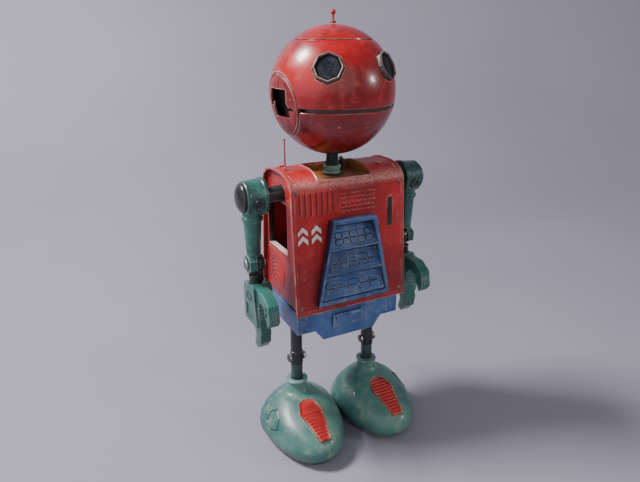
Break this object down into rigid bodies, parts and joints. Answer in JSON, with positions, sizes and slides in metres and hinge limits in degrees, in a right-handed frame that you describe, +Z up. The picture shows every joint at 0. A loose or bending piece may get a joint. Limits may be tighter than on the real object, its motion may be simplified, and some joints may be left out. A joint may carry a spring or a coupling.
{
  "type": "tin wind-up robot",
  "caption": "Tin wind-up walking robot with a ball head, louvred chest, claw hands and domed feet, driven by a clockwork crank that shuffles its legs.",
  "frame": {"origin": "on the ground below the centre of the robot's box", "axes": "+Z up, the robot faces -Y, +X towards its left hand, +Y behind it where the winding key is"},
  "size_m": [0.1044, 0.0819, 0.2222],
  "materials": {
    "red_paint": "worn gloss enamel",
    "green_paint": "worn gloss enamel",
    "blue_paint": "worn gloss enamel",
    "brown_paint": "satin",
    "gold_lacquer": "satin",
    "pale_enamel": "worn satin",
    "black_steel": "satin",
    "bright_steel": "polished, scuffed",
    "brass": "satin",
    "lens": "glossy"
  },
  "bodies": {
    "torso": {"torso_shell": "red_paint", "side_panel_right": "red_paint", "side_panel_left": "red_paint", "top_plate": "gold_lacquer", "neck_tube": "black_steel", "neck_collar": "green_paint", "whip_antenna": "black_steel", "chest_frame": "blue_paint", "louver_1": "blue_paint", "louver_2": "blue_paint", "louver_3": "blue_paint", "pelvis_housing": "blue_paint", "pelvis_panel": "blue_paint", "motor_plate_front": "bright_steel", "motor_plate_back": "bright_steel", "mainspring": "bright_steel"},
    "head": {"head_upper": "red_paint", "head_lower": "red_paint", "mouth_band": "brown_paint", "head_cap": "red_paint", "head_antenna": "red_paint", "ear_right": "red_paint", "ear_left": "red_paint", "eye_bezel_right": "pale_enamel", "eye_bezel_left": "pale_enamel", "eye_lens_right": "lens", "eye_lens_left": "lens"},
    "stop_lever": {"stop_lever": "black_steel"},
    "key": {"winding_key": "bright_steel", "winding_arbor": "bright_steel", "ratchet_wheel": "bright_steel"},
    "great_wheel": {"great_wheel": "brass"},
    "click": {"click": "bright_steel"},
    "intermediate": {"intermediate_pinion": "bright_steel", "intermediate_wheel": "brass"},
    "crank": {"crank_arbor": "bright_steel"},
    "leg_right": {"leg_tube_right": "black_steel", "knee_bolt_right": "bright_steel", "ankle_collar_right": "green_paint", "foot_right": "green_paint", "sole_right": "black_steel", "toe_plate_right": "red_paint"},
    "arm_right": {"shoulder_shaft_right": "black_steel", "upper_arm_right": "green_paint", "shoulder_cap_right": "black_steel", "elbow_pin_right": "bright_steel"},
    "forearm_right": {"forearm_right": "black_steel", "hand_right": "green_paint"},
    "leg_left": {"leg_tube_left": "black_steel", "knee_bolt_left": "bright_steel", "ankle_collar_left": "green_paint", "foot_left": "green_paint", "sole_left": "black_steel", "toe_plate_left": "red_paint"},
    "arm_left": {"shoulder_shaft_left": "black_steel", "upper_arm_left": "green_paint", "shoulder_cap_left": "black_steel", "elbow_pin_left": "bright_steel"},
    "forearm_left": {"forearm_left": "black_steel", "hand_left": "green_paint"}
  },
  "joints": [
    {"name": "head_turn", "type": "hinge", "parent": "torso", "child": "head", "pos_m": [0, 0, 0.186], "axis": [0, 0, 1], "range_deg": [-90, 90]},
    {"name": "stop_lever_turn", "type": "hinge", "parent": "torso", "child": "stop_lever", "pos_m": [0.008, 0.0052, 0.1459], "axis": [0, 0, 1], "range_deg": [0, 30]},
    {"name": "key_wind", "type": "hinge", "parent": "torso", "child": "key", "pos_m": [0, 0, 0.116], "axis": [0, 1, 0], "continuous": true},
    {"name": "crank_turn", "type": "hinge", "parent": "torso", "child": "crank", "pos_m": [0, 0, 0.08], "axis": [0, 1, 0], "range_deg": [-60, 60]},
    {"name": "intermediate_turn", "type": "hinge", "parent": "torso", "child": "intermediate", "pos_m": [0, 0, 0.0968], "axis": [0, 1, 0], "range_deg": [-24.5, 24.5]},
    {"name": "great_wheel_turn", "type": "hinge", "parent": "torso", "child": "great_wheel", "pos_m": [0, 0, 0.116], "axis": [0, 1, 0], "range_deg": [-8.5, 8.5]},
    {"name": "click_lift", "type": "hinge", "parent": "great_wheel", "child": "click", "pos_m": [0.009, 0, 0.1195], "axis": [0, 1, 0], "range_deg": [0, 15]},
    {"name": "leg_slide_right", "type": "slide", "parent": "torso", "child": "leg_right", "axis": [0, 0, 1], "range_m": [-0.00277, 0.00277]},
    {"name": "leg_slide_left", "type": "slide", "parent": "torso", "child": "leg_left", "axis": [0, 0, 1], "range_m": [-0.0028, 0.0028]},
    {"name": "shoulder_right", "type": "hinge", "parent": "torso", "child": "arm_right", "pos_m": [-0.0446, -0.003, 0.1401], "axis": [-1, 0, 0], "range_deg": [-60, 170]},
    {"name": "elbow_right", "type": "hinge", "parent": "arm_right", "child": "forearm_right", "pos_m": [-0.0446, -0.003, 0.1065], "axis": [-1, 0, 0], "range_deg": [0, 90]},
    {"name": "shoulder_left", "type": "hinge", "parent": "torso", "child": "arm_left", "pos_m": [0.0446, -0.003, 0.1401], "axis": [-1, 0, 0], "range_deg": [-60, 170]},
    {"name": "elbow_left", "type": "hinge", "parent": "arm_left", "child": "forearm_left", "pos_m": [0.0446, -0.003, 0.1065], "axis": [-1, 0, 0], "range_deg": [0, 90]}
  ],
  "couplings": [
    {"joint": "leg_slide_left", "follows": "leg_slide_right", "ratio": -1},
    {"joint": "crank_turn", "follows": "leg_slide_right", "rad_per_m": 377.87},
    {"joint": "intermediate_turn", "follows": "leg_slide_right", "rad_per_m": -151.15},
    {"joint": "great_wheel_turn", "follows": "leg_slide_right", "rad_per_m": 50.383}
  ]
}
